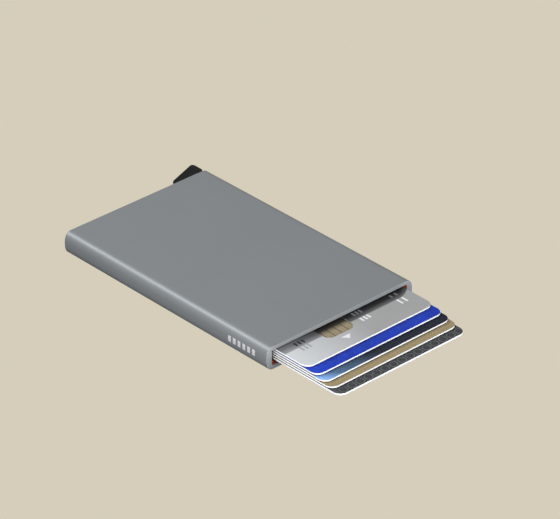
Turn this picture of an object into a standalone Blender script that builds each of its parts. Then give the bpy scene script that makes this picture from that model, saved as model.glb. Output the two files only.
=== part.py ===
"""Minimalist wallet: a slim aluminium card case whose lever fans the cards out of its mouth.

Metres, +Z up. The case lies flat with its underside on Z = 0, its length along Y and its mouth
towards -Y. The origin is the centre of the underside.
"""

import math

import bmesh
import bpy
from mathutils import Matrix, Vector

# Case: a drawn tube with flat walls, thick crowned sides and square inner corners. Each side
# bulges like half a superellipse of the given depth and power.
CASE_LENGTH = 0.0965
CASE_WIDTH = 0.0620
CASE_THICKNESS = 0.0081
CASE_SIDE_DEPTH = 0.0031
CASE_SIDE_POWER = 2.3
CASE_FLAT_WALL = 0.00136
CASE_SIDE_WALL = 0.0023
CASE_INNER_CORNER = 0.00035
CASE_EDGE_BREAK = 0.00015

# Cards: the standard bank card size, with corners at the tight end of its tolerance,
# five of them, fanned out of the mouth.
CARD_LENGTH = 0.0856
CARD_WIDTH = 0.05398
CARD_THICKNESS = 0.00076
CARD_CORNER = 0.0029
CARD_GAP = 0.0001
CARD_HEADROOM = 0.0003
CARD_SIDE_SHIFT = 0.0001
FAN_OUT = (0.01385, 0.0182, 0.0216, 0.02465, 0.0282)
CARD_RECESS = 0.0008

# Contact plate of the chip, let into the top card.
CHIP_WIDTH = 0.0118
CHIP_LENGTH = 0.0130
CHIP_CORNER = 0.0026
CHIP_DEPTH = 0.0002
CHIP_GAP = 0.00005
CHIP_FROM_FRONT = 0.0072
CHIP_CENTRE_X = -0.0054

# Friction strips along the two side walls: a thin wall leg, a floor leg and a nose at the mouth.
# The left strip's nose stands on the floor, the right one's hangs under the ceiling.
STRIP_GAP = 0.0001
STRIP_WALL_THICKNESS = 0.0006
STRIP_WALL_FROM_MOUTH = 0.0010
STRIP_FLOOR_WIDTH = 0.0060
STRIP_FLOOR_THICKNESS = 0.0004
STRIP_FLOOR_FROM_MOUTH = 0.0014
STRIP_NOSE_WIDTH = 0.0011
STRIP_NOSE_HEIGHT = 0.0012
STRIP_NOSE_LENGTH = 0.0080
STRIP_NOSE_FROM_MOUTH = 0.0002
STRIP_END_Y = 0.0360

# End cap: the moulding that closes the rear end and carries the lever.
CAP_GAP = 0.0003
CAP_FLOOR_GAP = 0.0001
CAP_FRONT_Y = 0.0363
CAP_END_RECESS = 0.0002
CAP_PLATE_THICKNESS = 0.0005
CAP_WALL = 0.0015
CAP_SIDE_WALL = 0.0013
CAP_SIDE_FRONT_Y = 0.0400
CAP_SLOT_LEFT_X = 0.0134
CAP_EDGE = 0.0002

# Lever: pivot, hub, one arm step for each card, and the fin that the thumb presses.
PIVOT_X = 0.0250
PIVOT_FROM_END = 0.00365
LEVER_TRAVEL = math.radians(38)
LEVER_GAP = 0.0002
LEVER_CARD_GAP = 0.0003
LEVER_RELIEF = 0.00005
HUB_RADIUS = 0.0028
ARM_TIP_WIDTH = 0.0026
ARM_TIP_CORNER = 0.0006
ARM_ROOT_STEP = -0.0004
FIN_INSIDE = 0.0009
FIN_LEFT_X = 0.0172
FIN_SHOULDER = (0.01865, 0.00395)
FIN_SHOULDER_CORNER = 0.0007
FIN_PEAK = 0.00842
FIN_PEAK_CORNER = 0.0011
FIN_HEEL = 0.0018
FIN_HEEL_CORNER = 0.0021
FIN_RIGHT_X = 0.03102
FIN_EDGE = 0.0004

# Pivot pin, the boss around it, and the torsion spring that turns the lever back.
PIN_RADIUS = 0.0008
PIN_PLAY = 0.00005
PIN_END_GAP = 0.00015
BOSS_RADIUS = 0.0013
BOSS_TOP = 0.0042
SPRING_RADIUS = 0.0017
SPRING_WIRE = 0.0002
SPRING_LOW = 0.00235
SPRING_TURNS = 3.75
SPRING_PITCH = 0.00046
SPRING_STEPS = 16
SPRING_STUB = 0.0007
SPRING_HOLE = 0.00033
SPRING_WELL_RADIUS = 0.00215
SPRING_WELL_TOP = 0.00435
SPRING_START = math.radians(-60)

ARC_STEP = math.radians(10)
ROUND_SIDES = 40
SMALL_SIDES = 20
SMOOTH_ANGLE = math.radians(32)
FLAT_ANGLE = math.radians(0.5)
WELD = 1e-7
OVERCUT = 0.001

# Places worked out from the driving dimensions.
REAR_Y = CASE_LENGTH / 2
MOUTH_Y = -CASE_LENGTH / 2
FLOOR_Z = CASE_FLAT_WALL
CEILING_Z = CASE_THICKNESS - CASE_FLAT_WALL
INNER_X = CASE_WIDTH / 2 - CASE_SIDE_WALL
STRIP_LOW_Z = FLOOR_Z + STRIP_GAP
STRIP_HIGH_Z = CEILING_Z - STRIP_GAP
CARD_PITCH = CARD_THICKNESS + CARD_GAP
CARD_TOP_Z = CEILING_Z - CARD_HEADROOM
STOWED_REAR_Y = MOUTH_Y + CARD_RECESS + CARD_LENGTH
PIVOT_Y = REAR_Y - PIVOT_FROM_END
ARM_FRONT = PIVOT_Y - STOWED_REAR_Y - LEVER_CARD_GAP
CAP_FLOOR_Z = FLOOR_Z + CAP_FLOOR_GAP
CAP_PLATE_TOP = CAP_FLOOR_Z + CAP_PLATE_THICKNESS
CAP_TOP_Z = CEILING_Z - CAP_FLOOR_GAP
LEVER_LOW_Z = CAP_PLATE_TOP + LEVER_GAP
LEVER_TOP_Z = CEILING_Z - LEVER_GAP

# Colours (linear), roughness and metallic value of each material.
FINISHES = {
    "anodised_grey": ((0.226, 0.242, 0.257), 0.38, 0.85),
    "black_plastic": ((0.021, 0.022, 0.023), 0.50, 0.0),
    "pin_steel": ((0.520, 0.530, 0.540), 0.30, 1.0),
    "spring_steel": ((0.420, 0.430, 0.440), 0.32, 1.0),
    "red_strip_left": ((0.145, 0.017, 0.010), 0.90, 0.0),
    "red_strip_right": ((0.145, 0.017, 0.010), 0.90, 0.0),
    "card_silver": ((0.560, 0.570, 0.580), 0.35, 0.2),
    "card_blue": ((0.028, 0.056, 0.558), 0.40, 0.0),
    "card_navy": ((0.030, 0.045, 0.080), 0.35, 0.0),
    "card_khaki": ((0.337, 0.266, 0.141), 0.40, 0.0),
    "card_charcoal": ((0.055, 0.056, 0.065), 0.45, 0.0),
    "chip_gold": ((0.450, 0.380, 0.230), 0.35, 0.8),
}
CARD_FINISHES = ("card_silver", "card_blue", "card_navy", "card_khaki", "card_charcoal")


def clear_scene():
    """Remove the objects of the open scene."""
    for item in list(bpy.data.objects):
        bpy.data.objects.remove(item, do_unlink=True)


def new_collection(name):
    """A collection linked to the scene."""
    collection = bpy.data.collections.new(name)
    bpy.context.scene.collection.children.link(collection)
    return collection


def finish_material(name):
    """The Principled material of one finish."""
    colour, roughness, metallic = FINISHES[name]
    material = bpy.data.materials.new(name)
    material.use_nodes = True
    shader = material.node_tree.nodes["Principled BSDF"]
    shader.inputs["Base Color"].default_value = (*colour, 1.0)
    shader.inputs["Roughness"].default_value = roughness
    shader.inputs["Metallic"].default_value = metallic
    return material


def keep(item, collection, finish):
    """Move an object into the model's collection, smooth its round faces and finish it."""
    for other in list(item.users_collection):
        other.objects.unlink(item)
    collection.objects.link(item)
    item.data.shade_smooth()
    item.data.set_sharp_from_angle(angle=SMOOTH_ANGLE)
    item.data.materials.clear()
    item.data.materials.append(finish_material(finish))
    return item


def as_tool(item, collection):
    """Put an object that cuts or joins another one with the cutters."""
    for other in list(item.users_collection):
        other.objects.unlink(item)
    collection.objects.link(item)
    item.hide_render = True
    item.display_type = "WIRE"
    return item


def combine(item, tool, operation):
    """Cut the tool from the item, or join it to the item."""
    modifier = item.modifiers.new(tool.name, "BOOLEAN")
    modifier.operation = operation
    modifier.solver = "EXACT"
    modifier.object = tool


def break_edges(item, width, segments):
    """Round or chamfer the sharp edges of an object."""
    modifier = item.modifiers.new("edges", "BEVEL")
    modifier.width = width
    modifier.segments = segments
    modifier.limit_method = "ANGLE"
    modifier.angle_limit = math.radians(50)


def rounded(corners):
    """Points of a closed outline whose corners are (x, y, radius)."""
    points = []
    for index, (x, y, radius) in enumerate(corners):
        corner = Vector((x, y))
        if radius == 0:
            points.append(corner)
            continue
        back = (Vector(corners[index - 1][:2]) - corner).normalized()
        ahead = (Vector(corners[(index + 1) % len(corners)][:2]) - corner).normalized()
        half = back.angle(ahead) / 2
        centre = corner + (back + ahead).normalized() * radius / math.sin(half)
        start = corner + back * radius / math.tan(half) - centre
        turn = math.pi - 2 * half
        if back.cross(ahead) > 0:
            turn = -turn
        steps = max(1, round(abs(turn) / ARC_STEP))
        for step in range(steps + 1):
            points.append(centre + Matrix.Rotation(turn * step / steps, 2) @ start)
    return points


def rectangle(width, height, radius):
    """Outline of a rectangle with round corners, centred on the origin."""
    x = width / 2
    y = height / 2
    return rounded([(-x, -y, radius), (x, -y, radius), (x, y, radius), (-x, y, radius)])


def extrusion(name, outline, thickness):
    """Mesh object of a flat outline extruded by half the thickness each way along Z."""
    curve = bpy.data.curves.new(name, "CURVE")
    curve.dimensions = "2D"
    curve.fill_mode = "BOTH"
    curve.extrude = thickness / 2
    spline = curve.splines.new("POLY")
    spline.points.add(len(outline) - 1)
    for point, place in zip(spline.points, outline):
        point.co = (place[0], place[1], 0, 1)
    spline.use_cyclic_u = True
    return curve_to_mesh(name, curve)


def curve_to_mesh(name, curve):
    """Mesh object with the shape of a curve, its caps welded on."""
    source = bpy.data.objects.new(name + "_curve", curve)
    bpy.context.scene.collection.objects.link(source)
    bpy.context.view_layer.update()
    evaluated = source.evaluated_get(bpy.context.evaluated_depsgraph_get())
    mesh = bpy.data.meshes.new_from_object(evaluated)
    shape = bmesh.new()
    shape.from_mesh(mesh)
    bmesh.ops.remove_doubles(shape, verts=shape.verts, dist=WELD)
    bmesh.ops.dissolve_limit(shape, angle_limit=FLAT_ANGLE, verts=shape.verts, edges=shape.edges)
    bmesh.ops.recalc_face_normals(shape, faces=shape.faces)
    shape.to_mesh(mesh)
    shape.free()
    bpy.data.objects.remove(source, do_unlink=True)
    mesh.name = name
    item = bpy.data.objects.new(name, mesh)
    bpy.context.scene.collection.objects.link(item)
    return item


def slab(name, outline, low, high):
    """Upright solid on an outline, from height low to height high."""
    item = extrusion(name, outline, high - low)
    item.location.z = (low + high) / 2
    return item


def block(name, low, high):
    """Box between two opposite corners."""
    bpy.ops.mesh.primitive_cube_add(size=1)
    item = bpy.context.object
    item.name = name
    item.data.name = name
    middle = (Vector(low) + Vector(high)) / 2
    size = Vector(high) - Vector(low)
    item.data.transform(Matrix.Diagonal((*size, 1)))
    item.location = middle
    return item


def rod(name, x, y, radius, low, high, sides):
    """Upright cylinder between two heights."""
    bpy.ops.mesh.primitive_cylinder_add(vertices=sides, radius=radius, depth=high - low)
    item = bpy.context.object
    item.name = name
    item.data.name = name
    item.location = (x, y, (low + high) / 2)
    return item


def card_top(index):
    """Height of a card's upper face, counted from the top of the stack."""
    return CARD_TOP_Z - index * CARD_PITCH


def step_top(index):
    """Height of the top of the arm step that pushes a card: half way into the gap above it."""
    return LEVER_TOP_Z - 2 * LEVER_RELIEF if index == 0 else card_top(index) + CARD_GAP / 2


def arm_reach(fan_out):
    """Length of the arm step that leaves a card fanned out by the given distance."""
    card_rear = MOUTH_Y - fan_out + CARD_LENGTH
    drop = PIVOT_Y - card_rear - LEVER_CARD_GAP
    lean = (ARM_FRONT - ARM_TIP_CORNER) * math.cos(LEVER_TRAVEL)
    return ARM_TIP_CORNER + (drop - ARM_TIP_CORNER - lean) / math.sin(LEVER_TRAVEL)


def bar_along_y(name, outline, length):
    """Bar of a constant section along Y, centred at half the case's thickness."""
    bar = extrusion(name, outline, length)
    bar.data.transform(Matrix.Rotation(math.radians(90), 4, "X"))
    bar.location.z = CASE_THICKNESS / 2
    return bar


def crowned_section():
    """Outline of the case's section: flat faces that run into full, gently crowned sides."""
    flat = CASE_WIDTH / 2 - CASE_SIDE_DEPTH
    half = CASE_THICKNESS / 2
    steps = round(math.pi / ARC_STEP)
    points = []
    for side in (1, -1):
        for step in range(steps + 1):
            angle = math.pi * (step / steps - 0.5)
            out = abs(math.cos(angle)) ** (2 / CASE_SIDE_POWER)
            up = math.copysign(abs(math.sin(angle)) ** (2 / CASE_SIDE_POWER), math.sin(angle))
            points.append(Vector((side * (flat + CASE_SIDE_DEPTH * out), side * half * up)))
    return points


def make_case(parts, tools):
    """Open-ended case tube with its outer end edges broken."""
    outer = crowned_section()
    inner = rectangle(2 * INNER_X, CEILING_Z - FLOOR_Z, CASE_INNER_CORNER)
    case = bar_along_y("case_sleeve", outer, CASE_LENGTH)
    cavity = bar_along_y("case_cavity", inner, CASE_LENGTH + 2 * OVERCUT)
    break_edges(case, CASE_EDGE_BREAK, 2)
    combine(case, as_tool(cavity, tools), "DIFFERENCE")
    keep(case, parts, "anodised_grey")


def strip_block(name, side, width, start, end, low, high):
    """Block of a strip that stands against the case's side wall."""
    outside = side * (INNER_X - STRIP_GAP)
    inside = side * (INNER_X - STRIP_GAP - width)
    return block(
        name,
        (min(outside, inside), MOUTH_Y + start, low),
        (max(outside, inside), end, high),
    )


def make_strip(parts, tools, name, side, nose_low, finish):
    """Friction strip: a wall leg, a floor leg under the cards' edges and a nose at the mouth."""
    nose_end = MOUTH_Y + STRIP_NOSE_FROM_MOUTH + STRIP_NOSE_LENGTH
    strip = strip_block(
        name,
        side,
        STRIP_WALL_THICKNESS,
        STRIP_WALL_FROM_MOUTH,
        STRIP_END_Y,
        STRIP_LOW_Z,
        STRIP_HIGH_Z,
    )
    floor_leg = strip_block(
        name + "_floor_leg",
        side,
        STRIP_FLOOR_WIDTH,
        STRIP_FLOOR_FROM_MOUTH,
        STRIP_END_Y,
        STRIP_LOW_Z,
        STRIP_LOW_Z + STRIP_FLOOR_THICKNESS,
    )
    nose = strip_block(
        name + "_nose",
        side,
        STRIP_NOSE_WIDTH,
        STRIP_NOSE_FROM_MOUTH,
        nose_end,
        nose_low,
        nose_low + STRIP_NOSE_HEIGHT,
    )
    combine(strip, as_tool(floor_leg, tools), "UNION")
    combine(strip, as_tool(nose, tools), "UNION")
    keep(strip, parts, finish)


def make_cards(parts, tools):
    """Five cards, the top one with a pocket that holds a contact plate."""
    for index, fan_out in enumerate(FAN_OUT):
        top = card_top(index)
        outline = rectangle(CARD_WIDTH, CARD_LENGTH, CARD_CORNER)
        card = slab(f"card_{index + 1}", outline, top - CARD_THICKNESS, top)
        card.location.x = CARD_SIDE_SHIFT
        card.location.y = MOUTH_Y - fan_out + CARD_LENGTH / 2
        if index == 0:
            make_chip(parts, tools, card)
        keep(card, parts, CARD_FINISHES[index])


def make_chip(parts, tools, card):
    """Contact plate and its pocket in the card."""
    top = card_top(0)
    front = MOUTH_Y - FAN_OUT[0] + CHIP_FROM_FRONT
    place = Vector((CHIP_CENTRE_X, front + CHIP_LENGTH / 2))
    plate = slab(
        "card_1_chip",
        rectangle(CHIP_WIDTH, CHIP_LENGTH, CHIP_CORNER),
        top - CHIP_DEPTH,
        top,
    )
    plate.location.xy = place
    margin = 2 * CHIP_GAP
    pocket = slab(
        "chip_pocket",
        rectangle(CHIP_WIDTH + margin, CHIP_LENGTH + margin, CHIP_CORNER + CHIP_GAP),
        top - CHIP_DEPTH - CHIP_GAP,
        top + OVERCUT,
    )
    pocket.location.xy = place
    combine(card, as_tool(pocket, tools), "DIFFERENCE")
    keep(plate, parts, "chip_gold")


def make_end_cap(parts, tools):
    """Base plate with the rear wall, a side wall and the pivot boss standing on it."""
    side_x = INNER_X - CAP_GAP
    end_y = REAR_Y - CAP_END_RECESS
    low = CAP_FLOOR_Z
    cap = block("end_cap", (-side_x, CAP_FRONT_Y, low), (side_x, end_y, CAP_PLATE_TOP))
    wall_outline = rounded(
        [
            (-side_x, CAP_SIDE_FRONT_Y, CAP_EDGE),
            (-side_x + CAP_SIDE_WALL, CAP_SIDE_FRONT_Y, CAP_EDGE),
            (-side_x + CAP_SIDE_WALL, end_y - CAP_WALL, CAP_WALL),
            (CAP_SLOT_LEFT_X, end_y - CAP_WALL, CAP_EDGE),
            (CAP_SLOT_LEFT_X, end_y, CAP_EDGE),
            (-side_x, end_y, CAP_EDGE),
        ]
    )
    wall = slab("end_cap_wall", wall_outline, low + CAP_PLATE_THICKNESS / 2, CAP_TOP_Z)
    boss = rod("end_cap_boss", PIVOT_X, PIVOT_Y, BOSS_RADIUS,
               low + CAP_PLATE_THICKNESS / 2, BOSS_TOP, ROUND_SIDES)
    bore = rod("end_cap_bore", PIVOT_X, PIVOT_Y, PIN_RADIUS + PIN_PLAY,
               low - OVERCUT, BOSS_TOP + OVERCUT, ROUND_SIDES)
    hole_x = PIVOT_X + SPRING_RADIUS * math.cos(SPRING_START)
    hole_y = PIVOT_Y + SPRING_RADIUS * math.sin(SPRING_START)
    hole = rod("end_cap_spring_hole", hole_x, hole_y, SPRING_HOLE,
               low - OVERCUT, CAP_PLATE_TOP + LEVER_GAP, SMALL_SIDES)
    combine(cap, as_tool(wall, tools), "UNION")
    combine(cap, as_tool(boss, tools), "UNION")
    combine(cap, as_tool(bore, tools), "DIFFERENCE")
    combine(cap, as_tool(hole, tools), "DIFFERENCE")
    keep(cap, parts, "black_plastic")


def make_pivot_pin(parts):
    """Pin that the lever turns on."""
    pin = rod("pivot_pin", PIVOT_X, PIVOT_Y, PIN_RADIUS,
              FLOOR_Z + PIN_END_GAP, CEILING_Z - PIN_END_GAP, ROUND_SIDES)
    break_edges(pin, PIN_END_GAP, 1)
    keep(pin, parts, "pin_steel")


def spring_end_angle():
    """Angle round the pivot where the coil ends."""
    return SPRING_START + 2 * math.pi * SPRING_TURNS


def make_return_spring(parts):
    """Torsion spring with a stub down into the cap and a stub up into the lever."""
    steps = round(SPRING_TURNS * SPRING_STEPS)
    places = []
    for step in range(steps + 1):
        turn = step / SPRING_STEPS
        angle = SPRING_START + 2 * math.pi * turn
        height = SPRING_LOW + SPRING_PITCH * turn
        places.append(Vector((SPRING_RADIUS * math.cos(angle), SPRING_RADIUS * math.sin(angle), height)))
    places.insert(0, places[0] - Vector((0, 0, SPRING_STUB)))
    places.append(places[-1] + Vector((0, 0, SPRING_STUB)))
    curve = bpy.data.curves.new("return_spring", "CURVE")
    curve.dimensions = "3D"
    curve.bevel_depth = SPRING_WIRE
    curve.bevel_resolution = 2
    curve.use_fill_caps = True
    spline = curve.splines.new("POLY")
    spline.points.add(len(places) - 1)
    for point, place in zip(spline.points, places):
        point.co = (*place, 1)
    spring = curve_to_mesh("return_spring", curve)
    spring.location = (PIVOT_X, PIVOT_Y, 0)
    keep(spring, parts, "spring_steel")


def arm_outline(reach, root):
    """Outline of one arm step, from its tip to inside the hub, with the pivot at the origin."""
    inside = HUB_RADIUS * 0.8
    return rounded(
        [
            (-reach, -ARM_FRONT, ARM_TIP_CORNER),
            (root, -ARM_FRONT, ARM_TIP_CORNER),
            (inside, -inside / 4, 0),
            (-inside / 2, inside * 0.85, 0),
            (-reach, -ARM_FRONT + ARM_TIP_WIDTH, ARM_TIP_CORNER),
        ]
    )


def fin_outline():
    """Outline of the fin and its neck, with the pivot at the origin."""
    end = PIVOT_FROM_END
    inside = HUB_RADIUS * 0.8
    heel_x = FIN_RIGHT_X - FIN_HEEL_CORNER - PIVOT_X
    return rounded(
        [
            (FIN_LEFT_X - PIVOT_X, end - FIN_INSIDE, ARM_TIP_CORNER),
            (-HUB_RADIUS, end - FIN_INSIDE, ARM_TIP_CORNER),
            (-inside, 0, 0),
            (inside, 0, 0),
            (heel_x, end + FIN_HEEL, 0),
            (FIN_RIGHT_X - PIVOT_X, end + FIN_HEEL, FIN_HEEL_CORNER),
            (FIN_RIGHT_X - PIVOT_X, end + FIN_PEAK, FIN_PEAK_CORNER),
            (FIN_SHOULDER[0] - PIVOT_X, end + FIN_SHOULDER[1], FIN_SHOULDER_CORNER),
        ]
    )


def make_lever(parts, tools):
    """Lever: hub, five arm steps and fin in one moulding, with its origin on the pivot axis."""
    lever = rod("eject_lever", 0, 0, HUB_RADIUS, LEVER_LOW_Z, LEVER_TOP_Z, ROUND_SIDES)
    lever.data.transform(Matrix.Translation(lever.location))
    lever.location = (PIVOT_X, PIVOT_Y, 0)
    pivot = Vector((PIVOT_X, PIVOT_Y, 0))
    count = len(FAN_OUT)
    for index, fan_out in enumerate(FAN_OUT):
        low = LEVER_LOW_Z + 2 * LEVER_RELIEF
        if index < count - 1:
            low = card_top(index + 1) - CARD_THICKNESS / 2
        outline = arm_outline(arm_reach(fan_out), index * ARM_ROOT_STEP)
        step = slab(f"arm_step_{index + 1}", outline, low, step_top(index))
        step.location += pivot
        combine(lever, as_tool(step, tools), "UNION")
    fin = slab("lever_fin", fin_outline(), LEVER_LOW_Z + LEVER_RELIEF, LEVER_TOP_Z - LEVER_RELIEF)
    break_edges(fin, FIN_EDGE, 2)
    fin.location += pivot
    combine(lever, as_tool(fin, tools), "UNION")
    bore = rod("lever_bore", PIVOT_X, PIVOT_Y, PIN_RADIUS + PIN_PLAY,
               LEVER_LOW_Z - OVERCUT, LEVER_TOP_Z + OVERCUT, ROUND_SIDES)
    well = rod("lever_spring_well", PIVOT_X, PIVOT_Y, SPRING_WELL_RADIUS,
               LEVER_LOW_Z - OVERCUT, SPRING_WELL_TOP, ROUND_SIDES)
    angle = spring_end_angle()
    hole_top = SPRING_LOW + SPRING_PITCH * SPRING_TURNS + SPRING_STUB + LEVER_CARD_GAP
    hole = rod(
        "lever_spring_hole",
        PIVOT_X + SPRING_RADIUS * math.cos(angle),
        PIVOT_Y + SPRING_RADIUS * math.sin(angle),
        SPRING_HOLE,
        SPRING_WELL_TOP - LEVER_GAP,
        hole_top,
        SMALL_SIDES,
    )
    combine(lever, as_tool(bore, tools), "DIFFERENCE")
    combine(lever, as_tool(well, tools), "DIFFERENCE")
    combine(lever, as_tool(hole, tools), "DIFFERENCE")
    keep(lever, parts, "black_plastic")


def main():
    """Build the wallet."""
    clear_scene()
    parts = new_collection("minimalist_wallet")
    tools = new_collection("cutters")
    make_case(parts, tools)
    make_strip(parts, tools, "strip_left", -1, STRIP_LOW_Z, "red_strip_left")
    make_strip(parts, tools, "strip_right", 1, STRIP_HIGH_Z - STRIP_NOSE_HEIGHT, "red_strip_right")
    make_cards(parts, tools)
    make_end_cap(parts, tools)
    make_pivot_pin(parts)
    make_return_spring(parts)
    make_lever(parts, tools)


main()
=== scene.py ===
import math

import bmesh
import bpy
from mathutils import Matrix, Vector


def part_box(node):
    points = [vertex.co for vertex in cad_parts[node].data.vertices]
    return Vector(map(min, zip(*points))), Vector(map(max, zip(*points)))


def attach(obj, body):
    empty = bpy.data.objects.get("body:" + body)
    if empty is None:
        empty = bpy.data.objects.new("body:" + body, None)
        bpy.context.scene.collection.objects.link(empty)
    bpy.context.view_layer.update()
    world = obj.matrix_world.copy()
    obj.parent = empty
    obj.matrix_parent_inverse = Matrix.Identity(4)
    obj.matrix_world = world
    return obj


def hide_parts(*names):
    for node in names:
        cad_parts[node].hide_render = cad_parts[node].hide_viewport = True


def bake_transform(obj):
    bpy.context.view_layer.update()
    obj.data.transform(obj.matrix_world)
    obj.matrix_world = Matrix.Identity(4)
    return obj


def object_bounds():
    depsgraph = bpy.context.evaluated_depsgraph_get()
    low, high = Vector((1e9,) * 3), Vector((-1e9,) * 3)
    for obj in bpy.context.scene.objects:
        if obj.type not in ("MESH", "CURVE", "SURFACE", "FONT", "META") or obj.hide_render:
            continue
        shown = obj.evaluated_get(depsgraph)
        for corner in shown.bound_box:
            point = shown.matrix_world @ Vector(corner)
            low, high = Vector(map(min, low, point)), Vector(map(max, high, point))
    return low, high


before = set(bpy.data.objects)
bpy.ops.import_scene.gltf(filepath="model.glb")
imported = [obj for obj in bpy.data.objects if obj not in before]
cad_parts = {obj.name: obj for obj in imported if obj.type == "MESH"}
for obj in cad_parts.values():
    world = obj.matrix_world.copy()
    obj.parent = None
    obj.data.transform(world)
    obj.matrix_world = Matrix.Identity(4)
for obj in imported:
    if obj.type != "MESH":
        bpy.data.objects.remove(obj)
CAD_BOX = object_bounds()

# Camera: angles in degrees, target as an offset from the middle of the case.
CAMERA_AZIMUTH = 42.36
CAMERA_ELEVATION = 30.775
CAMERA_ROLL = -0.309
CAMERA_DISTANCE = 1.1756
CAMERA_LENS = 236.7
CAMERA_OFFSET = Vector((0.012925, -0.006394, 0.0))

# Softboxes: (name, azimuth, elevation, distance, size, power). Azimuth 0 is at -Y and 90 at +X.
SOFTBOXES = (
    ("key_behind", 137, 25.5, 1.6, (0.50, 0.28), 0.95),
    ("edge_left", -156, 43, 1.5, (0.26, 0.26), 10.0),
    ("side_low", -50, 6, 0.55, (0.30, 0.10), 1.7),
    ("front_low", 12, 12, 1.2, (0.50, 0.16), 8.5),
    ("overhead", -70, 60, 0.75, (0.60, 0.60), 3.5),
)

# Backdrop: its colour for the camera, and the light that the floor and the room give the object.
# The floor gives none under the object's middle. Its light rises from INSIDE within the object's
# sides to REACH outside them, and in front of the mouth it rises further, to FLOOR_FRONT.
BACKDROP = (0.672, 0.617, 0.491)
ROOM_LIGHT = (0.10, 0.105, 0.11)
FLOOR_BOUNCE = (0.26, 0.265, 0.28)
FLOOR_SIZE = 8.0
FLOOR_GAP = 0.0002
FLOOR_SHADE_INSIDE = 0.016
FLOOR_SHADE_REACH = 0.030
FLOOR_FRONT = 1.8
FLOOR_FRONT_INSIDE = 0.004
FLOOR_FRONT_REACH = 0.006

# Return spring: a torsion spring round the lever's pivot, with an upright stub at each end.
# SPRING_WIRE is the wire's radius and SPRING_PITCH the rise of each turn.
SPRING_PIVOT = Vector((0.0250, 0.0446, 0.0))
SPRING_RADIUS = 0.0017
SPRING_WIRE = 0.0002
SPRING_LOW = 0.00235
SPRING_TURNS = 3.75
SPRING_PITCH = 0.00046
SPRING_STUB = 0.0007
SPRING_START = math.radians(-60)
SPRING_STEPS = 96
SPRING_SIDES = 10

# Case: how deep and how full its crowned sides are, the bore's corner and walls, the breaks of
# the rims, and the segments. The sections at HOLD behind each break keep the shading flat there.
CASE_SIDE_DEPTH = 0.0031
CASE_SIDE_POWER = 2.6
CASE_INNER_CORNER = 0.00035
CASE_SIDE_WALL = 0.0023
CASE_FLAT_WALL = 0.00136
OUTER_BREAK = 0.00013
INNER_BREAK = 0.00010
SIDE_STEPS = 28
BREAK_STEPS = 3
HOLD = 0.0004

# Ticks on the case's left side: the first one's distance from the mouth, how far their middle is
# above the side's, and how deep into the wall they are drawn.
TICK_COUNT = 6
TICK_FIRST = 0.0060
TICK_PITCH = 0.0022
TICK_HALF_WIDTH = 0.0006
TICK_HALF_HEIGHT = 0.0010
TICK_RISE = 0.0003
TICK_DEPTH = 0.0005

# Cards: printed films over a white core.
CARD_CORNER = 0.0029
CARD_FILM = 0.00022
CARD_EDGE = 0.00003
CARD_STEPS = 12

# Card artwork: distances in metres from the card's front left corner, and the reach of the top card's
# painted shadow.
PRINT_SOFT = 0.0001
BAR_WIDTH = 0.00065
# The top card's dark band is a painted shadow of the case's mouth, curling back near the card's right edge.
SHADOW_FRONT = 0.0097
SHADOW_REAR = 0.0230
SHADOW_CURL_FROM = 0.0485
SHADOW_CURL = -80.0
HONEYCOMB_PITCH = 0.00351
HONEYCOMB_START = (0.00318, 0.00178)
BACK_STRIPE = (0.0040, 0.0167)
PANEL_ACROSS = (0.0205, 0.0290)
PANEL_ALONG = (0.008, 0.062)
# The chip's rear carries the same painted shadow.
CHIP_SHADOW = (0.0098, 0.0126)

# Chip: contact pads parted by fine grooves.
CHIP_CORNER = 0.0026
CHIP_STEPS = 8
CHIP_EDGE = 0.00003
CHIP_PITCH = 0.00274
CHIP_GROOVE = 0.00022
CHIP_GROOVE_DEPTH = 0.00006
CHIP_ROW = 0.0050
CHIP_GAP = 0.00005
CUT_REACH = 0.001

# Bump distance of smooth surfaces, and the shading of finished meshes.
FINE = 0.00001
SHARP_ANGLE = math.radians(35)
FLAT_WEIGHT = 80


# ---------------------------------------------------------------- shader helpers

def new_material(name):
    """An empty node material, its nodes and the position on its object."""
    material = bpy.data.materials.new(name)
    material.use_nodes = True
    material.node_tree.nodes.clear()
    nodes = Nodes(material.node_tree)
    return material, nodes, nodes.point()


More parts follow.
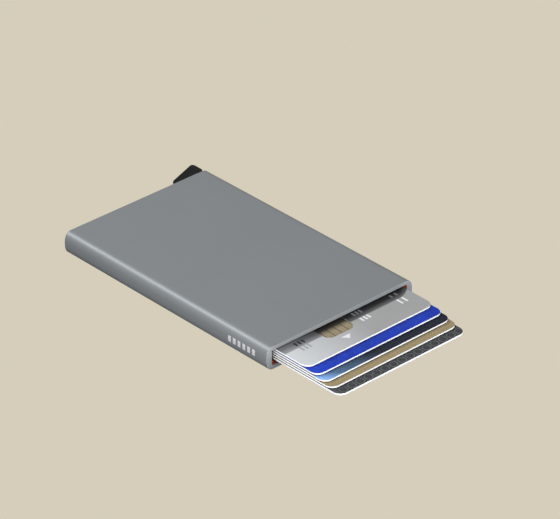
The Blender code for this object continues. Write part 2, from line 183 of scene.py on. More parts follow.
class Nodes:
    """Short ways to add and join shader nodes."""

    def __init__(self, tree):
        self.tree = tree

    def add(self, kind, **settings):
        node = self.tree.nodes.new(kind)
        for name, value in settings.items():
            setattr(node, name, value)
        return node

    def put(self, value, socket):
        """Link an output, or set a plain value."""
        if isinstance(value, bpy.types.NodeSocket):
            self.tree.links.new(value, socket)
        else:
            socket.default_value = value

    def math(self, operation, *values):
        node = self.add("ShaderNodeMath", operation=operation)
        for socket, value in zip(node.inputs, values):
            self.put(value, socket)
        return node.outputs[0]

    def mix(self, factor, first, second):
        node = self.add("ShaderNodeMix", data_type="RGBA")
        sockets = [s for s in node.inputs if s.enabled]
        for socket, value in zip(sockets, (factor, first, second)):
            self.put(value, socket)
        return next(s for s in node.outputs if s.enabled)

    def noise(self, place, scale, detail=2.0, roughness=0.5):
        node = self.add("ShaderNodeTexNoise")
        self.put(place, node.inputs["Vector"])
        node.inputs["Scale"].default_value = scale
        node.inputs["Detail"].default_value = detail
        node.inputs["Roughness"].default_value = roughness
        return node.outputs["Fac"]

    def ramp(self, value, start, end, low=0.0, high=1.0):
        """From low to high as the value goes from start to end."""
        node = self.add("ShaderNodeMapRange")
        self.put(value, node.inputs["Value"])
        settings = (("From Min", start), ("From Max", end), ("To Min", low), ("To Max", high))
        for name, setting in settings:
            node.inputs[name].default_value = setting
        return node.outputs[0]

    def band(self, value, low, high, soft):
        """1 between low and high, falling to 0 over the soft distance outside."""
        up = self.ramp(value, low - soft, low)
        down = self.ramp(value, high + soft, high)
        return self.math("MULTIPLY", up, down)

    def both(self, *masks):
        """The product of some masks."""
        result = masks[0]
        for mask in masks[1:]:
            result = self.math("MULTIPLY", result, mask)
        return result

    def either(self, *masks):
        """The largest of some masks."""
        result = masks[0]
        for mask in masks[1:]:
            result = self.math("MAXIMUM", result, mask)
        return result

    def stretch(self, place, x, y, z):
        """A position scaled differently along each axis, for grain that has a direction."""
        node = self.add("ShaderNodeVectorMath", operation="MULTIPLY")
        self.put(place, node.inputs[0])
        node.inputs[1].default_value = (x, y, z)
        return node.outputs[0]

    def bump(self, height, strength, distance=FINE):
        node = self.add("ShaderNodeBump")
        self.put(height, node.inputs["Height"])
        node.inputs["Strength"].default_value = strength
        node.inputs["Distance"].default_value = distance
        return node.outputs["Normal"]

    def point(self):
        """Position in the object's own frame, in metres."""
        return self.add("ShaderNodeTexCoord").outputs["Object"]

    def axes(self, point):
        """X, Y and Z of a position."""
        split = self.add("ShaderNodeSeparateXYZ")
        self.put(point, split.inputs[0])
        return split.outputs[0], split.outputs[1], split.outputs[2]

    def principled(self, colour, roughness, normal, metallic=0.0, specular=0.5):
        """A Principled shader joined to the output."""
        shader = self.add("ShaderNodeBsdfPrincipled")
        self.put(colour, shader.inputs["Base Color"])
        self.put(roughness, shader.inputs["Roughness"])
        shader.inputs["Metallic"].default_value = metallic
        shader.inputs["Specular IOR Level"].default_value = specular
        self.put(normal, shader.inputs["Normal"])
        output = self.add("ShaderNodeOutputMaterial")
        self.put(shader.outputs[0], output.inputs["Surface"])


# ---------------------------------------------------------------- materials

def anodised_aluminium():
    """Bead-blasted grey anodising with faint drawing marks and a row of plain white ticks."""
    material, nodes, point = new_material("anodised_grey")
    grain = nodes.noise(point, 4200.0, 3.0, 0.65)
    drawn = nodes.noise(nodes.stretch(point, 900.0, 14.0, 900.0), 1.0, 3.0, 0.6)
    cloud = nodes.noise(point, 30.0, 2.0)
    colour = nodes.mix(cloud, (0.272, 0.291, 0.305, 1.0), (0.287, 0.306, 0.320, 1.0))
    colour = nodes.mix(nodes.math("MULTIPLY", grain, 0.16), colour, (0.36, 0.38, 0.397, 1.0))
    colour = nodes.mix(side_ticks(nodes, point), colour, (0.86, 0.86, 0.86, 1.0))
    streaks = nodes.ramp(drawn, 0.3, 0.7, 0.0, 0.03)
    rough = nodes.math("ADD", nodes.ramp(grain, 0.3, 0.7, 0.52, 0.58), streaks)
    height = nodes.math("ADD", grain, nodes.math("MULTIPLY", drawn, 0.35))
    nodes.principled(colour, rough, nodes.bump(height, 0.10), metallic=0.5)
    return material


def side_ticks(nodes, point):
    """Six short upright ticks on the left side wall near the mouth."""
    x, y, z = nodes.axes(point)
    low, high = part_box("case_sleeve")
    middle_z = (low.z + high.z) / 2 + TICK_RISE
    marks = []
    for index in range(TICK_COUNT):
        centre = low.y + TICK_FIRST + index * TICK_PITCH
        marks.append(nodes.band(y, centre - TICK_HALF_WIDTH, centre + TICK_HALF_WIDTH, PRINT_SOFT))
    upright = nodes.band(z, middle_z - TICK_HALF_HEIGHT, middle_z + TICK_HALF_HEIGHT, PRINT_SOFT)
    on_side = nodes.math("LESS_THAN", x, low.x + TICK_DEPTH)
    return nodes.both(nodes.either(*marks), upright, on_side)


def cut_aluminium():
    """Satin metal where the tube's ends were cut and their edges broken."""
    material, nodes, point = new_material("cut_rim")
    lines = nodes.noise(nodes.stretch(point, 500.0, 500.0, 5200.0), 1.0, 3.0, 0.6)
    colour = nodes.mix(lines, (0.29, 0.306, 0.32, 1.0), (0.36, 0.376, 0.39, 1.0))
    rough = nodes.ramp(lines, 0.3, 0.7, 0.46, 0.54)
    nodes.principled(colour, rough, nodes.bump(lines, 0.10), metallic=0.45)
    return material


def bore_aluminium():
    """The tube's inside: drawn, duller, with long scratches left by sliding cards."""
    material, nodes, point = new_material("bore_grey")
    lines = nodes.noise(nodes.stretch(point, 2600.0, 22.0, 2600.0), 1.0, 3.0, 0.6)
    colour = nodes.mix(lines, (0.20, 0.21, 0.22, 1.0), (0.30, 0.31, 0.32, 1.0))
    rough = nodes.ramp(lines, 0.3, 0.7, 0.40, 0.55)
    nodes.principled(colour, rough, nodes.bump(lines, 0.2, distance=0.00002), metallic=0.6)
    return material


def matt_plastic(name, dark, light):
    """Fine spark-eroded moulding."""
    material, nodes, point = new_material(name)
    grain = nodes.noise(point, 3400.0, 3.0, 0.6)
    wear = nodes.noise(point, 140.0, 2.0)
    colour = nodes.mix(grain, (dark, dark, dark * 1.04, 1.0), (light, light, light * 1.04, 1.0))
    rubbed = nodes.ramp(wear, 0.4, 0.7, 0.0, -0.05)
    rough = nodes.math("ADD", nodes.ramp(grain, 0.3, 0.7, 0.58, 0.70), rubbed)
    nodes.principled(colour, rough, nodes.bump(grain, 0.25, distance=0.00003), specular=0.14)
    return material


def red_felt():
    """Matt red-brown friction strip with a short nap."""
    material, nodes, point = new_material("red_strip")
    nap = nodes.noise(point, 2600.0, 4.0, 0.7)
    tufts = nodes.noise(point, 700.0, 2.0)
    colour = nodes.mix(nap, (0.140, 0.012, 0.007, 1.0), (0.230, 0.026, 0.014, 1.0))
    colour = nodes.mix(nodes.ramp(tufts, 0.5, 0.8, 0.0, 0.4), colour, (0.30, 0.045, 0.028, 1.0))
    rough = nodes.ramp(nap, 0.3, 0.7, 0.86, 0.95)
    nodes.principled(colour, rough, nodes.bump(nap, 0.6, distance=0.00008), specular=0.1)
    return material


def steel(name, tone, scales):
    """Drawn or ground steel with fine lines, whose scale along each axis is given."""
    material, nodes, point = new_material(name)
    lines = nodes.noise(nodes.stretch(point, *scales), 1.0, 3.0, 0.6)
    worn = (tone * 0.80, tone * 0.81, tone * 0.82, 1.0)
    colour = nodes.mix(lines, worn, (tone, tone, tone, 1.0))
    rough = nodes.ramp(lines, 0.3, 0.7, 0.22, 0.36)
    nodes.principled(colour, rough, nodes.bump(lines, 0.2), metallic=1.0)
    return material


def white_core():
    """White PVC of a card's core, seen at its punched edge."""
    material, nodes, point = new_material("card_core")
    nibble = nodes.noise(nodes.stretch(point, 900.0, 900.0, 5000.0), 1.0, 3.0, 0.6)
    colour = nodes.mix(nibble, (0.84, 0.86, 0.88, 1.0), (0.92, 0.93, 0.94, 1.0))
    rough = nodes.ramp(nibble, 0.3, 0.7, 0.48, 0.60)
    nodes.principled(colour, rough, nodes.bump(nibble, 0.2, distance=0.00002), specular=0.3)
    return material


def card_film_and_gap_shade(name, colour):
    """The laminated film's edge, whose colour is painted shade of the gap under the card."""
    material, nodes, point = new_material(name)
    grain = nodes.noise(point, 2200.0, 2.0)
    shade = tuple(part * 0.7 for part in colour)
    tint = nodes.mix(grain, (*shade, 1.0), (*colour, 1.0))
    rough = nodes.ramp(grain, 0.3, 0.7, 0.40, 0.52)
    nodes.principled(tint, rough, nodes.bump(grain, 0.1))
    return material


def card_print(name, artwork, low, roughness, metallic=0.0):
    """A printed card face, whose artwork works from the card's front left corner."""
    material, nodes, point = new_material(name)
    x, y, z = nodes.axes(point)
    across = nodes.math("SUBTRACT", x, low.x)
    along = nodes.math("SUBTRACT", y, low.y)
    grain = nodes.noise(point, 2600.0, 2.0)
    rub = nodes.noise(nodes.stretch(point, 700.0, 40.0, 1.0), 1.0, 3.0, 0.7)
    colour = artwork(nodes, point, across, along)
    scuffed = nodes.mix(nodes.ramp(rub, 0.66, 0.85, 0.0, 0.05), colour, (0.60, 0.60, 0.61, 1.0))
    fine = nodes.ramp(grain, 0.3, 0.7, roughness - 0.01, roughness + 0.01)
    rough = nodes.math("ADD", fine, nodes.ramp(rub, 0.5, 0.8, 0.0, 0.02))
    nodes.principled(scuffed, rough, nodes.bump(grain, 0.01), metallic=metallic, specular=0.25)
    return material


def bars(nodes, across, along, reach, count, span):
    """A row of short bars of a card's artwork, from the first of two places across to the other."""
    marks = []
    for index in range(count):
        centre = reach[0] + (reach[1] - reach[0]) * index / (count - 1)
        marks.append(nodes.band(across, centre - BAR_WIDTH / 2, centre + BAR_WIDTH / 2, PRINT_SOFT))
    return nodes.both(nodes.either(*marks), nodes.band(along, span[0], span[1], PRINT_SOFT))


def wedge(nodes, across, along, centre_x, base_y, half_width, height):
    """A triangle of a card's artwork that points to the card's front edge."""
    below = nodes.math("SUBTRACT", base_y, along)
    side = nodes.math("ABSOLUTE", nodes.math("SUBTRACT", across, centre_x))
    slope = nodes.math("MULTIPLY_ADD", below, half_width / height, side)
    inside = nodes.ramp(slope, half_width + PRINT_SOFT, half_width)
    return nodes.both(inside, nodes.ramp(below, -PRINT_SOFT, 0.0))


def silver_print_and_painted_light(nodes, point, across, along):
    """Silver foil with a painted sheen that is paler to the left, a dark band of painted shadow, a small
    wedge and some plain bars.

    The painted shadow's front edge curls towards the rear near the card's right edge, like the shadow of
    the case's round corner."""
    foil = nodes.noise(nodes.stretch(point, 30.0, 60.0, 1.0), 1.0, 2.0)
    # Painted sheen: the foil paler to the left, darker to the right.
    base = nodes.mix(nodes.ramp(across, 0.0, 0.030), (0.66, 0.69, 0.71, 1.0), (0.345, 0.345, 0.345, 1.0))
    base = nodes.mix(nodes.ramp(foil, 0.3, 0.7, 0.0, 0.08), base, (0.60, 0.615, 0.63, 1.0))
    # Painted shadow of the case's mouth: a dark band, paler to the left, fading out behind the mouth.
    curl = nodes.math("MAXIMUM", nodes.math("SUBTRACT", across, SHADOW_CURL_FROM), 0.0)
    bent = nodes.math("MULTIPLY_ADD", nodes.math("MULTIPLY", curl, curl), SHADOW_CURL, along)
    stripe = nodes.both(
        nodes.ramp(bent, SHADOW_FRONT, SHADOW_FRONT + 0.0005),
        nodes.ramp(bent, SHADOW_FRONT + 0.0003, SHADOW_FRONT + 0.0027, 0.74, 1.0),
        nodes.ramp(along, SHADOW_REAR - 0.0060, SHADOW_REAR, 1.0, 0.0),
        nodes.ramp(across, 0.0030, 0.0260, 0.72, 1.0),
    )
    base = nodes.mix(stripe, base, (0.011, 0.011, 0.012, 1.0))
    pale = nodes.either(
        wedge(nodes, across, along, 0.0211, 0.0054, 0.0018, 0.0020),
        bars(nodes, across, along, (0.0312, 0.0341), 3, (0.0078, 0.0098)),
        bars(nodes, across, along, (0.0472, 0.0493), 2, (0.0070, 0.0098)),
    )
    base = nodes.mix(nodes.math("MULTIPLY", pale, 0.85), base, (0.88, 0.89, 0.90, 1.0))
    grey = nodes.either(
        bars(nodes, across, along, (0.0060, 0.0090), 3, (0.0077, 0.0100)),
        bars(nodes, across, along, (0.0312, 0.0341), 3, (0.0118, 0.0136)),
        bars(nodes, across, along, (0.0472, 0.0493), 2, (0.0118, 0.0132)),
    )
    base = nodes.mix(nodes.math("MULTIPLY", grey, 0.7), base, (0.26, 0.26, 0.27, 1.0))
    dark = bars(nodes, across, along, (0.0062, 0.0092), 3, (0.0110, 0.0129))
    return nodes.mix(dark, base, (0.008, 0.008, 0.009, 1.0))


def blue_artwork(nodes, point, across, along):
    """Ultramarine with faint darker facets."""
    facets = nodes.add("ShaderNodeTexVoronoi", feature="F1")
    nodes.put(nodes.stretch(point, 1.0, 0.55, 0.0), facets.inputs["Vector"])
    facets.inputs["Scale"].default_value = 290.0
    tone = nodes.add("ShaderNodeSeparateColor")
    nodes.put(facets.outputs["Color"], tone.inputs[0])
    share = nodes.ramp(tone.outputs[0], 0.2, 1.0)
    tint = nodes.mix(share, (0.006, 0.044, 0.500, 1.0), (0.004, 0.030, 0.380, 1.0))
    return nodes.mix(nodes.ramp(across, 0.004, 0.016, 0.0, 0.5), tint, (0.004, 0.030, 0.330, 1.0))


def sky_artwork(nodes, point, across, along):
    """Pale blue at the front left corner, turning to navy over the first third."""
    reach = nodes.math("MULTIPLY_ADD", along, 1.1, across)
    cloud = nodes.noise(point, 160.0, 3.0)
    reach = nodes.math("MULTIPLY_ADD", cloud, 0.004, reach)
    near = nodes.mix(nodes.ramp(reach, 0.0045, 0.0095), (0.24, 0.44, 0.86, 1.0), (0.080, 0.155, 0.280, 1.0))
    return nodes.mix(nodes.ramp(reach, 0.008, 0.026), near, (0.006, 0.010, 0.022, 1.0))


def khaki_artwork(nodes, point, across, along):
    """Plain khaki gold with a fine fleck."""
    fleck = nodes.noise(point, 3000.0, 2.0)
    return nodes.mix(nodes.ramp(fleck, 0.3, 0.7), (0.296, 0.231, 0.123, 1.0), (0.312, 0.245, 0.133, 1.0))


def honeycomb(nodes, across, along, pitch, start):
    """Distance from the middle of the nearest cell of a honeycomb, as a share of half its pitch.

    Two grids of rectangles, shifted by half a rectangle, have the cells at their middles. Some whole
    rectangles are added ahead, so that no place is negative when it wraps."""
    cell = (pitch, pitch * math.sqrt(3.0), 1.0)
    ahead = 8
    place = nodes.add("ShaderNodeCombineXYZ")
    nodes.put(across, place.inputs[0])
    nodes.put(along, place.inputs[1])
    lengths = []
    for shift in (0.0, 0.5):
        moved = nodes.add("ShaderNodeVectorMath", operation="ADD")
        nodes.put(place.outputs[0], moved.inputs[0])
        offset = [side * (ahead + shift) - begin for side, begin in zip(cell, start)]
        moved.inputs[1].default_value = (*offset, 0.5)
        wrapped = nodes.add("ShaderNodeVectorMath", operation="MODULO")
        nodes.put(moved.outputs[0], wrapped.inputs[0])
        wrapped.inputs[1].default_value = cell
        centred = nodes.add("ShaderNodeVectorMath", operation="SUBTRACT")
        nodes.put(wrapped.outputs[0], centred.inputs[0])
        centred.inputs[1].default_value = (cell[0] / 2, cell[1] / 2, 0.5)
        x, y, z = nodes.axes(centred.outputs[0])
        x = nodes.math("ABSOLUTE", x)
        y = nodes.math("ABSOLUTE", y)
        slanted = nodes.math("MULTIPLY_ADD", y, math.sqrt(3.0) / 2, nodes.math("MULTIPLY", x, 0.5))
        lengths.append(nodes.math("MAXIMUM", x, slanted))
    return nodes.math("DIVIDE", nodes.math("MINIMUM", *lengths), pitch / 2)


def charcoal_artwork(nodes, point, across, along):
    """Charcoal with a honeycomb of slightly paler rings."""
    reach = honeycomb(nodes, across, along, HONEYCOMB_PITCH, HONEYCOMB_START)
    ring = nodes.band(reach, 0.70, 0.78, 0.05)
    weave = nodes.noise(point, 1500.0, 2.0)
    base = nodes.mix(weave, (0.034, 0.035, 0.039, 1.0), (0.044, 0.045, 0.050, 1.0))
    return nodes.mix(ring, base, (0.150, 0.152, 0.160, 1.0))


def back_artwork(shade):
    """A card's back: a dark magnetic stripe across its length and a pale signature panel."""
    def artwork(nodes, point, across, along):
        stripe = nodes.band(across, *BACK_STRIPE, PRINT_SOFT)
        panel = nodes.both(
            nodes.band(across, *PANEL_ACROSS, PRINT_SOFT),
            nodes.band(along, *PANEL_ALONG, PRINT_SOFT),
        )
        lines = nodes.math("SINE", nodes.math("MULTIPLY", nodes.math("ADD", across, along), 5200.0))
        inked = nodes.ramp(lines, 0.6, 0.9, 0.0, 0.5)
        ruled = nodes.mix(inked, (0.72, 0.73, 0.72, 1.0), (0.45, 0.52, 0.60, 1.0))
        base = nodes.mix(stripe, (*shade, 1.0), (0.012, 0.011, 0.011, 1.0))
        return nodes.mix(panel, base, ruled)
    return artwork


def chip_gold():
    """Pale gold plating of the contact pads, with a painted shadow of the case's mouth over its rear."""
    material, nodes, point = new_material("chip_gold")
    grain = nodes.noise(point, 2500.0, 3.0)
    tarnish = nodes.noise(point, 300.0, 2.0)
    colour = nodes.mix(grain, (0.42, 0.345, 0.215, 1.0), (0.50, 0.415, 0.262, 1.0))
    colour = nodes.mix(nodes.ramp(tarnish, 0.5, 0.8, 0.0, 0.2), colour, (0.30, 0.24, 0.14, 1.0))
    x, y, z = nodes.axes(point)
    # Painted shadow of the case's mouth over the chip's rear, as on the top card.
    along = nodes.math("SUBTRACT", y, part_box("card_1")[0].y)
    stripe = nodes.ramp(along, *CHIP_SHADOW, 0.0, 0.97)
    colour = nodes.mix(stripe, colour, (0.020, 0.017, 0.013, 1.0))
    rough = nodes.ramp(grain, 0.3, 0.7, 0.28, 0.34)
    nodes.principled(colour, rough, nodes.bump(grain, 0.03), metallic=0.9)
    return material


def chip_groove():
    """Dark resin in the grooves between the contact pads."""
    material, nodes, point = new_material("chip_groove")
    grain = nodes.noise(point, 3000.0, 2.0)
    colour = nodes.mix(grain, (0.010, 0.008, 0.006, 1.0), (0.020, 0.016, 0.012, 1.0))
    rough = nodes.ramp(grain, 0.3, 0.7, 0.5, 0.65)
    nodes.principled(colour, rough, nodes.bump(grain, 0.1))
    return material


# ---------------------------------------------------------------- shapes

def round_rectangle(width, height, radius, steps, split=False):
    """Points of a rectangle with round corners, anticlockwise from its right side.

    A split outline has one more point, in the middle of each upright side."""
    points = []
    corners = ((1, -1, -90), (1, 1, 0), (-1, 1, 90), (-1, -1, 180))
    for side, level, start in corners:
        centre = Vector((side * (width / 2 - radius), level * (height / 2 - radius)))
        if split and side == level:
            points.append(Vector((side * width / 2, 0)))
        for step in range(steps + 1):
            angle = math.radians(start + 90 * step / steps)
            points.append(centre + radius * Vector((math.cos(angle), math.sin(angle))))
    return points


def loft(name, loops, slots, materials, closed=False):
    """Mesh object through loops of the same number of points, one material slot for each band.

    An open loft ends in two flat caps, whose slots are the first and last of the bands."""
    shape = bmesh.new()
    rows = [[shape.verts.new(point) for point in loop] for loop in loops]
    bands = list(zip(rows, rows[1:]))
    if closed:
        bands.append((rows[-1], rows[0]))
    else:
        shape.faces.new(list(reversed(rows[0]))).material_index = slots[0]
        shape.faces.new(rows[-1]).material_index = slots[-1]
    for (lower, upper), slot in zip(bands, slots):
        for index in range(len(lower)):
            after = (index + 1) % len(lower)
            face = shape.faces.new((lower[index], lower[after], upper[after], upper[index]))
            face.material_index = slot
    bmesh.ops.recalc_face_normals(shape, faces=shape.faces)
    mesh = bpy.data.meshes.new(name)
    shape.to_mesh(mesh)
    shape.free()
    for material in materials:
        mesh.materials.append(material)
    item = bpy.data.objects.new(name, mesh)
    bpy.context.scene.collection.objects.link(item)
    return item


def apply_modifiers(item):
    """Make the result of an object's modifiers its mesh."""
    evaluated = item.evaluated_get(bpy.context.evaluated_depsgraph_get())
    mesh = bpy.data.meshes.new_from_object(evaluated)
    item.modifiers.clear()
    item.data = mesh


def settle(item):
    """Smooth shading that leaves the large flat faces flat."""
    item.data.shade_smooth()
    item.data.set_sharp_from_angle(angle=SHARP_ANGLE)
    modifier = item.modifiers.new("flats", "WEIGHTED_NORMAL")
    modifier.mode = "FACE_AREA"
    modifier.weight = FLAT_WEIGHT
    modifier.keep_sharp = True
    modifier.use_face_influence = False
    apply_modifiers(item)


def plate(name, low, high, radius, levels, slots, materials, steps=CARD_STEPS):
    """Flat plate in a box: levels are (height, inset) from the underside up."""
    centre = (low + high) / 2
    loops = []
    for height, inset in levels:
        outline = round_rectangle(
            high.x - low.x - 2 * inset,
            high.y - low.y - 2 * inset,
            radius - inset,
            steps,
        )
        loops.append([Vector((centre.x + p.x, centre.y + p.y, height)) for p in outline])
    return loft(name, loops, slots, materials)


def cut(item, tools):
    """Cut some objects out of a mesh, with their materials on the cut faces, and remove them."""
    for tool in tools:
        modifier = item.modifiers.new(tool.name, "BOOLEAN")
        modifier.operation = "DIFFERENCE"
        modifier.solver = "EXACT"
        modifier.material_mode = "TRANSFER"
        modifier.object = tool
    apply_modifiers(item)
    for tool in tools:
        bpy.data.objects.remove(tool, do_unlink=True)


def crowned_section(width, height, depth):
    """Points of the case's outer section: flat faces that run into full, crowned sides."""
    points = []
    for side in (1, -1):
        for step in range(SIDE_STEPS + 1):
            angle = math.pi * (step / SIDE_STEPS - 0.5)
            out = abs(math.cos(angle)) ** (2 / CASE_SIDE_POWER)
            up = math.copysign(abs(math.sin(angle)) ** (2 / CASE_SIDE_POWER), math.sin(angle))
            points.append(Vector((side * (width / 2 - depth + depth * out), side * height / 2 * up)))
    return points


def square_section(width, height, radius):
    """Points of the case's inner section, as many as the outer one has."""
    return round_rectangle(width, height, radius, (SIDE_STEPS - 1) // 2, SIDE_STEPS % 2 == 0)


def at_length(points, y):
    """A section's points at a place along the case."""
    low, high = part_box("case_sleeve")
    middle = (low.z + high.z) / 2
    return [Vector((p.x, y, middle + p.y)) for p in points]


def outer_end(end, inward):
    """Loops from an end face round its outer break to the plain tube."""
    low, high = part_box("case_sleeve")
    loops = []
    for step in range(BREAK_STEPS + 1):
        angle = math.radians(90) * step / BREAK_STEPS
        inset = OUTER_BREAK * (1 - math.sin(angle))
        section = crowned_section(high.x - low.x - 2 * inset, high.z - low.z - 2 * inset,
                                  CASE_SIDE_DEPTH - inset)
        loops.append(at_length(section, end + inward * OUTER_BREAK * (1 - math.cos(angle))))
    plain = crowned_section(high.x - low.x, high.z - low.z, CASE_SIDE_DEPTH)
    loops.append(at_length(plain, end + inward * (OUTER_BREAK + HOLD)))
    return loops


def inner_end(end, inward):
    """Loops from an end face round its inner break into the plain bore."""
    low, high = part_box("case_sleeve")
    width = high.x - low.x - 2 * CASE_SIDE_WALL
    height = high.z - low.z - 2 * CASE_FLAT_WALL
    wide = square_section(width + 2 * INNER_BREAK, height + 2 * INNER_BREAK,
                          CASE_INNER_CORNER + INNER_BREAK)
    plain = square_section(width, height, CASE_INNER_CORNER)
    return [
        at_length(wide, end),
        at_length(plain, end + inward * INNER_BREAK),
        at_length(plain, end + inward * (INNER_BREAK + HOLD)),
    ]


def make_case():
    """Case tube with crowned sides, cut metal round both rims and a plain bore."""
    low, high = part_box("case_sleeve")
    loops = outer_end(low.y, 1)
    slots = [1] * BREAK_STEPS + [0, 0]
    loops += reversed(outer_end(high.y, -1))
    slots += [0] + [1] * (BREAK_STEPS + 1)
    loops += inner_end(high.y, -1)
    slots += [1, 2, 2]
    loops += reversed(inner_end(low.y, 1))
    slots += [2, 1, 1]
    materials = [anodised_aluminium(), cut_aluminium(), bore_aluminium()]
    shell = loft("case_shell", loops, slots, materials, True)
    settle(shell)
    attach(shell, "case")
    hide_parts("case_sleeve")


def card_levels(low, high):
    """Heights and insets of a card's layers: underside, back film, core, face."""
    return [
        (low.z, CARD_EDGE),
        (low.z + CARD_EDGE, 0.0),
        (low.z + CARD_FILM, 0.0),
        (high.z - CARD_EDGE, 0.0),
        (high.z, CARD_EDGE),
    ]


def make_card(index, name, artwork, film, back, core, roughness, metallic):
    """One card with printed faces, a film edge below coloured as painted shade of the gap under it, and a
    white core. The first has the chip.
    """
    low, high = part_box(name)
    materials = [
        card_print(f"{name}_back", back_artwork(back), low, 0.40),
        card_film_and_gap_shade(f"{name}_film", film),
        core,
        card_print(f"{name}_face", artwork, low, roughness, metallic),
    ]
    levels = card_levels(low, high)
    card = plate(f"{name}_printed", low, high, CARD_CORNER, levels, [0, 1, 2, 3], materials)
    if index == 0:
        cut(card, [chip_pocket(core)])
    settle(card)
    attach(card, name)
    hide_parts(name)


def chip_pocket(material):
    """Cutter for the pocket that the chip sits in."""
    low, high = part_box("card_1_chip")
    margin = Vector((CHIP_GAP, CHIP_GAP, 0))
    levels = [(low.z - CHIP_GAP, 0.0), (high.z + CUT_REACH, 0.0)]
    low, high = low - margin, high + margin
    return plate("chip_pocket", low, high, CHIP_CORNER, levels, [0], [material], CHIP_STEPS)


def make_chip():
    """Contact plate: eight pads round a middle field, parted by dark grooves."""
    low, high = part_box("card_1_chip")
    centre = (low + high) / 2
    gold = chip_gold()
    groove = chip_groove()
    levels = [(low.z, 0.0), (high.z - CHIP_EDGE, 0.0), (high.z, CHIP_EDGE)]
    chip = plate("chip_contacts", low, high, CHIP_CORNER, levels, [0, 0], [gold, groove], CHIP_STEPS)
    half = CHIP_GROOVE / 2
    floor_z = high.z - CHIP_GROOVE_DEPTH
    top_z = high.z + CUT_REACH
    front_y = low.y - CUT_REACH
    rear_y = high.y + CUT_REACH
    tools = []
    row_edges = (low.y + CHIP_ROW, high.y - CHIP_ROW)
    for column in (-2, -1, 0, 1, 2):
        x = centre.x + column * CHIP_PITCH
        spans = ((front_y, row_edges[0]), (row_edges[1], rear_y))
        if abs(column) == 2:
            spans = ((front_y, rear_y),)
        for start, end in spans:
            box_low = Vector((x - half, start, floor_z))
            box_high = Vector((x + half, end, top_z))
            tools.append(groove_tool(len(tools), box_low, box_high, groove))
    reach = 2 * CHIP_PITCH
    for y in row_edges:
        box_low = Vector((centre.x - reach, y - half, floor_z))
        box_high = Vector((centre.x + reach, y + half, top_z))
        tools.append(groove_tool(len(tools), box_low, box_high, groove))
    cut(chip, tools)
    settle(chip)
    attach(chip, "card_1")
    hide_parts("card_1_chip")


def groove_tool(index, low, high, material):
    """Thin cutter of one groove."""
    levels = [(low.z, 0.0), (high.z, 0.0)]
    return plate(f"groove_{index}", low, high, CHIP_GROOVE / 4, levels, [0], [material], 1)


def make_spring(material):
    """Torsion spring round the lever's pivot, its foot in the end cap."""
    points = []
    for step in range(SPRING_STEPS + 1):
        turn = SPRING_TURNS * step / SPRING_STEPS
        angle = SPRING_START + 2 * math.pi * turn
        height = SPRING_LOW + SPRING_PITCH * turn
        points.append(Vector((SPRING_RADIUS * math.cos(angle), SPRING_RADIUS * math.sin(angle), height)))
    points.insert(0, points[0] - Vector((0, 0, SPRING_STUB)))
    points.append(points[-1] + Vector((0, 0, SPRING_STUB)))
    rings = []
    last = len(points) - 1
    for number, point in enumerate(points):
        run = (points[min(number + 1, last)] - points[max(number - 1, 0)]).normalized()
        out = Vector((point.x, point.y, 0)).normalized()
        side = run.cross(out).normalized()
        out = side.cross(run)
        ring = []
        for corner in range(SPRING_SIDES):
            angle = 2 * math.pi * corner / SPRING_SIDES
            offset = (out * math.cos(angle) + side * math.sin(angle)) * SPRING_WIRE
            ring.append(SPRING_PIVOT + point + offset)
        rings.append(ring)
    spring = loft("wound_spring", rings, [0] * last, [material])
    spring.data.shade_smooth()
    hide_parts("return_spring")
    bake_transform(spring)


def dress(names, material):
    """Give CAD nodes one material."""
    for name in names:
        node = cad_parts[name]
        node.data.materials.clear()
        node.data.materials.append(material)


# ---------------------------------------------------------------- studio

def add_camera():
    """Long lens at the photograph's viewing angle."""
    low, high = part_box("case_sleeve")
    target = (low + high) / 2 + CAMERA_OFFSET
    azimuth = math.radians(CAMERA_AZIMUTH)
    tilt = math.radians(-CAMERA_ELEVATION)
    ahead = Vector((
        math.cos(tilt) * math.sin(azimuth),
        math.cos(tilt) * math.cos(azimuth),
        math.sin(tilt),
    ))
    right = Vector((math.cos(azimuth), -math.sin(azimuth), 0))
    up = right.cross(ahead)
    camera = bpy.data.objects.new("camera", bpy.data.cameras.new("camera"))
    bpy.context.scene.collection.objects.link(camera)
    turn = Matrix((right, up, -ahead)).transposed().to_4x4()
    roll = Matrix.Rotation(math.radians(CAMERA_ROLL), 4, "Z")
    camera.matrix_world = Matrix.Translation(target - ahead * CAMERA_DISTANCE) @ turn @ roll
    camera.data.lens = CAMERA_LENS
    camera.data.sensor_width = 36.0
    camera.data.clip_start = 0.05
    camera.data.clip_end = 20.0
    bpy.context.scene.camera = camera


def seen_and_given(nodes, kind, seen_colour, given_colour, given_strength=1.0):
    """A glow with one colour for the camera and another for what it lights."""
    seen = nodes.add(kind)
    seen.inputs["Color"].default_value = (*seen_colour, 1.0)
    given = nodes.add(kind)
    given.inputs["Color"].default_value = (*given_colour, 1.0)
    nodes.put(given_strength, given.inputs["Strength"])
    ray = nodes.add("ShaderNodeLightPath")
    mix = nodes.add("ShaderNodeMixShader")
    nodes.put(ray.outputs["Is Camera Ray"], mix.inputs[0])
    nodes.put(given.outputs[0], mix.inputs[1])
    nodes.put(seen.outputs[0], mix.inputs[2])
    return mix.outputs[0]


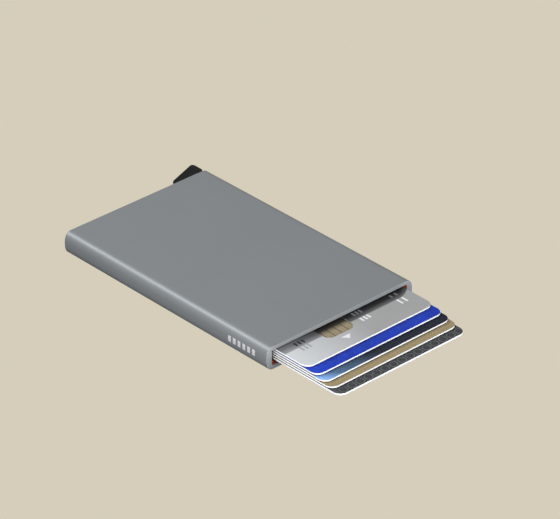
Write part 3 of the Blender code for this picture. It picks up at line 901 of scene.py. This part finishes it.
def add_floor():
    """Plain pale floor that the object lies on, without shadows."""
    bpy.ops.mesh.primitive_plane_add(size=FLOOR_SIZE)
    floor = bpy.context.object
    floor.name = "floor"
    material, nodes, point = new_material("floor")
    x, y, z = nodes.axes(point)
    low, high = CAD_BOX
    outward = nodes.math("ABSOLUTE", x)
    sides = nodes.ramp(outward, high.x - FLOOR_SHADE_INSIDE, high.x + FLOOR_SHADE_REACH)
    behind = nodes.ramp(y, high.y, high.y + FLOOR_SHADE_REACH)
    mouth_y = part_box("case_sleeve")[0].y
    front = nodes.ramp(y, mouth_y + FLOOR_FRONT_INSIDE, mouth_y - FLOOR_FRONT_REACH, 0.0, FLOOR_FRONT)
    shade = nodes.either(sides, behind, front)
    output = nodes.add("ShaderNodeOutputMaterial")
    glow = seen_and_given(nodes, "ShaderNodeEmission", BACKDROP, FLOOR_BOUNCE, shade)
    nodes.put(glow, output.inputs["Surface"])
    floor.data.materials.append(material)
    floor.location.z = low.z - FLOOR_GAP


def add_world():
    """Even room light, with the backdrop's colour where the camera sees past the floor."""
    world = bpy.data.worlds.new("studio")
    bpy.context.scene.world = world
    world.use_nodes = True
    world.node_tree.nodes.clear()
    nodes = Nodes(world.node_tree)
    output = nodes.add("ShaderNodeOutputWorld")
    glow = seen_and_given(nodes, "ShaderNodeBackground", BACKDROP, ROOM_LIGHT)
    nodes.put(glow, output.inputs["Surface"])


def add_softbox(name, azimuth, elevation, distance, size, power):
    """Rectangular area light that faces the object."""
    data = bpy.data.lights.new(name, "AREA")
    data.shape = "RECTANGLE"
    data.size = size[0]
    data.size_y = size[1]
    data.energy = power
    lamp = bpy.data.objects.new(name, data)
    bpy.context.scene.collection.objects.link(lamp)
    around = math.radians(azimuth)
    above = math.radians(elevation)
    back = Vector((
        math.sin(around) * math.cos(above),
        -math.cos(around) * math.cos(above),
        math.sin(above),
    ))
    lamp.location = back * distance
    lamp.rotation_mode = "QUATERNION"
    lamp.rotation_quaternion = (-back).to_track_quat("-Z", "Y")


make_case()
CORE = white_core()
# Film colours are painted shade of the gap under each card: dark above another card, pale under the lowest.
make_card(0, "card_1", silver_print_and_painted_light, (0.020, 0.024, 0.040), (0.50, 0.51, 0.52), CORE, 0.30, 0.2)
make_card(1, "card_2", blue_artwork, (0.012, 0.018, 0.045), (0.030, 0.056, 0.40), CORE, 0.52, 0.0)
make_card(2, "card_3", sky_artwork, (0.012, 0.014, 0.018), (0.030, 0.045, 0.08), CORE, 0.52, 0.0)
make_card(3, "card_4", khaki_artwork, (0.014, 0.013, 0.012), (0.300, 0.240, 0.13), CORE, 0.54, 0.0)
make_card(4, "card_5", charcoal_artwork, (0.640, 0.630, 0.60), (0.055, 0.056, 0.06), CORE, 0.55, 0.0)
make_chip()

dress(["eject_lever"], matt_plastic("lever_black", 0.010, 0.016))
dress(["end_cap"], matt_plastic("cap_black", 0.022, 0.032))
dress(["strip_left", "strip_right"], red_felt())
dress(["pivot_pin"], steel("pin_steel", 0.62, (300.0, 300.0, 6000.0)))
make_spring(steel("spring_steel", 0.55, (4000.0, 4000.0, 4000.0)))

add_camera()
add_floor()
add_world()
for softbox in SOFTBOXES:
    add_softbox(*softbox)

bpy.context.scene.view_settings.view_transform = "Standard"
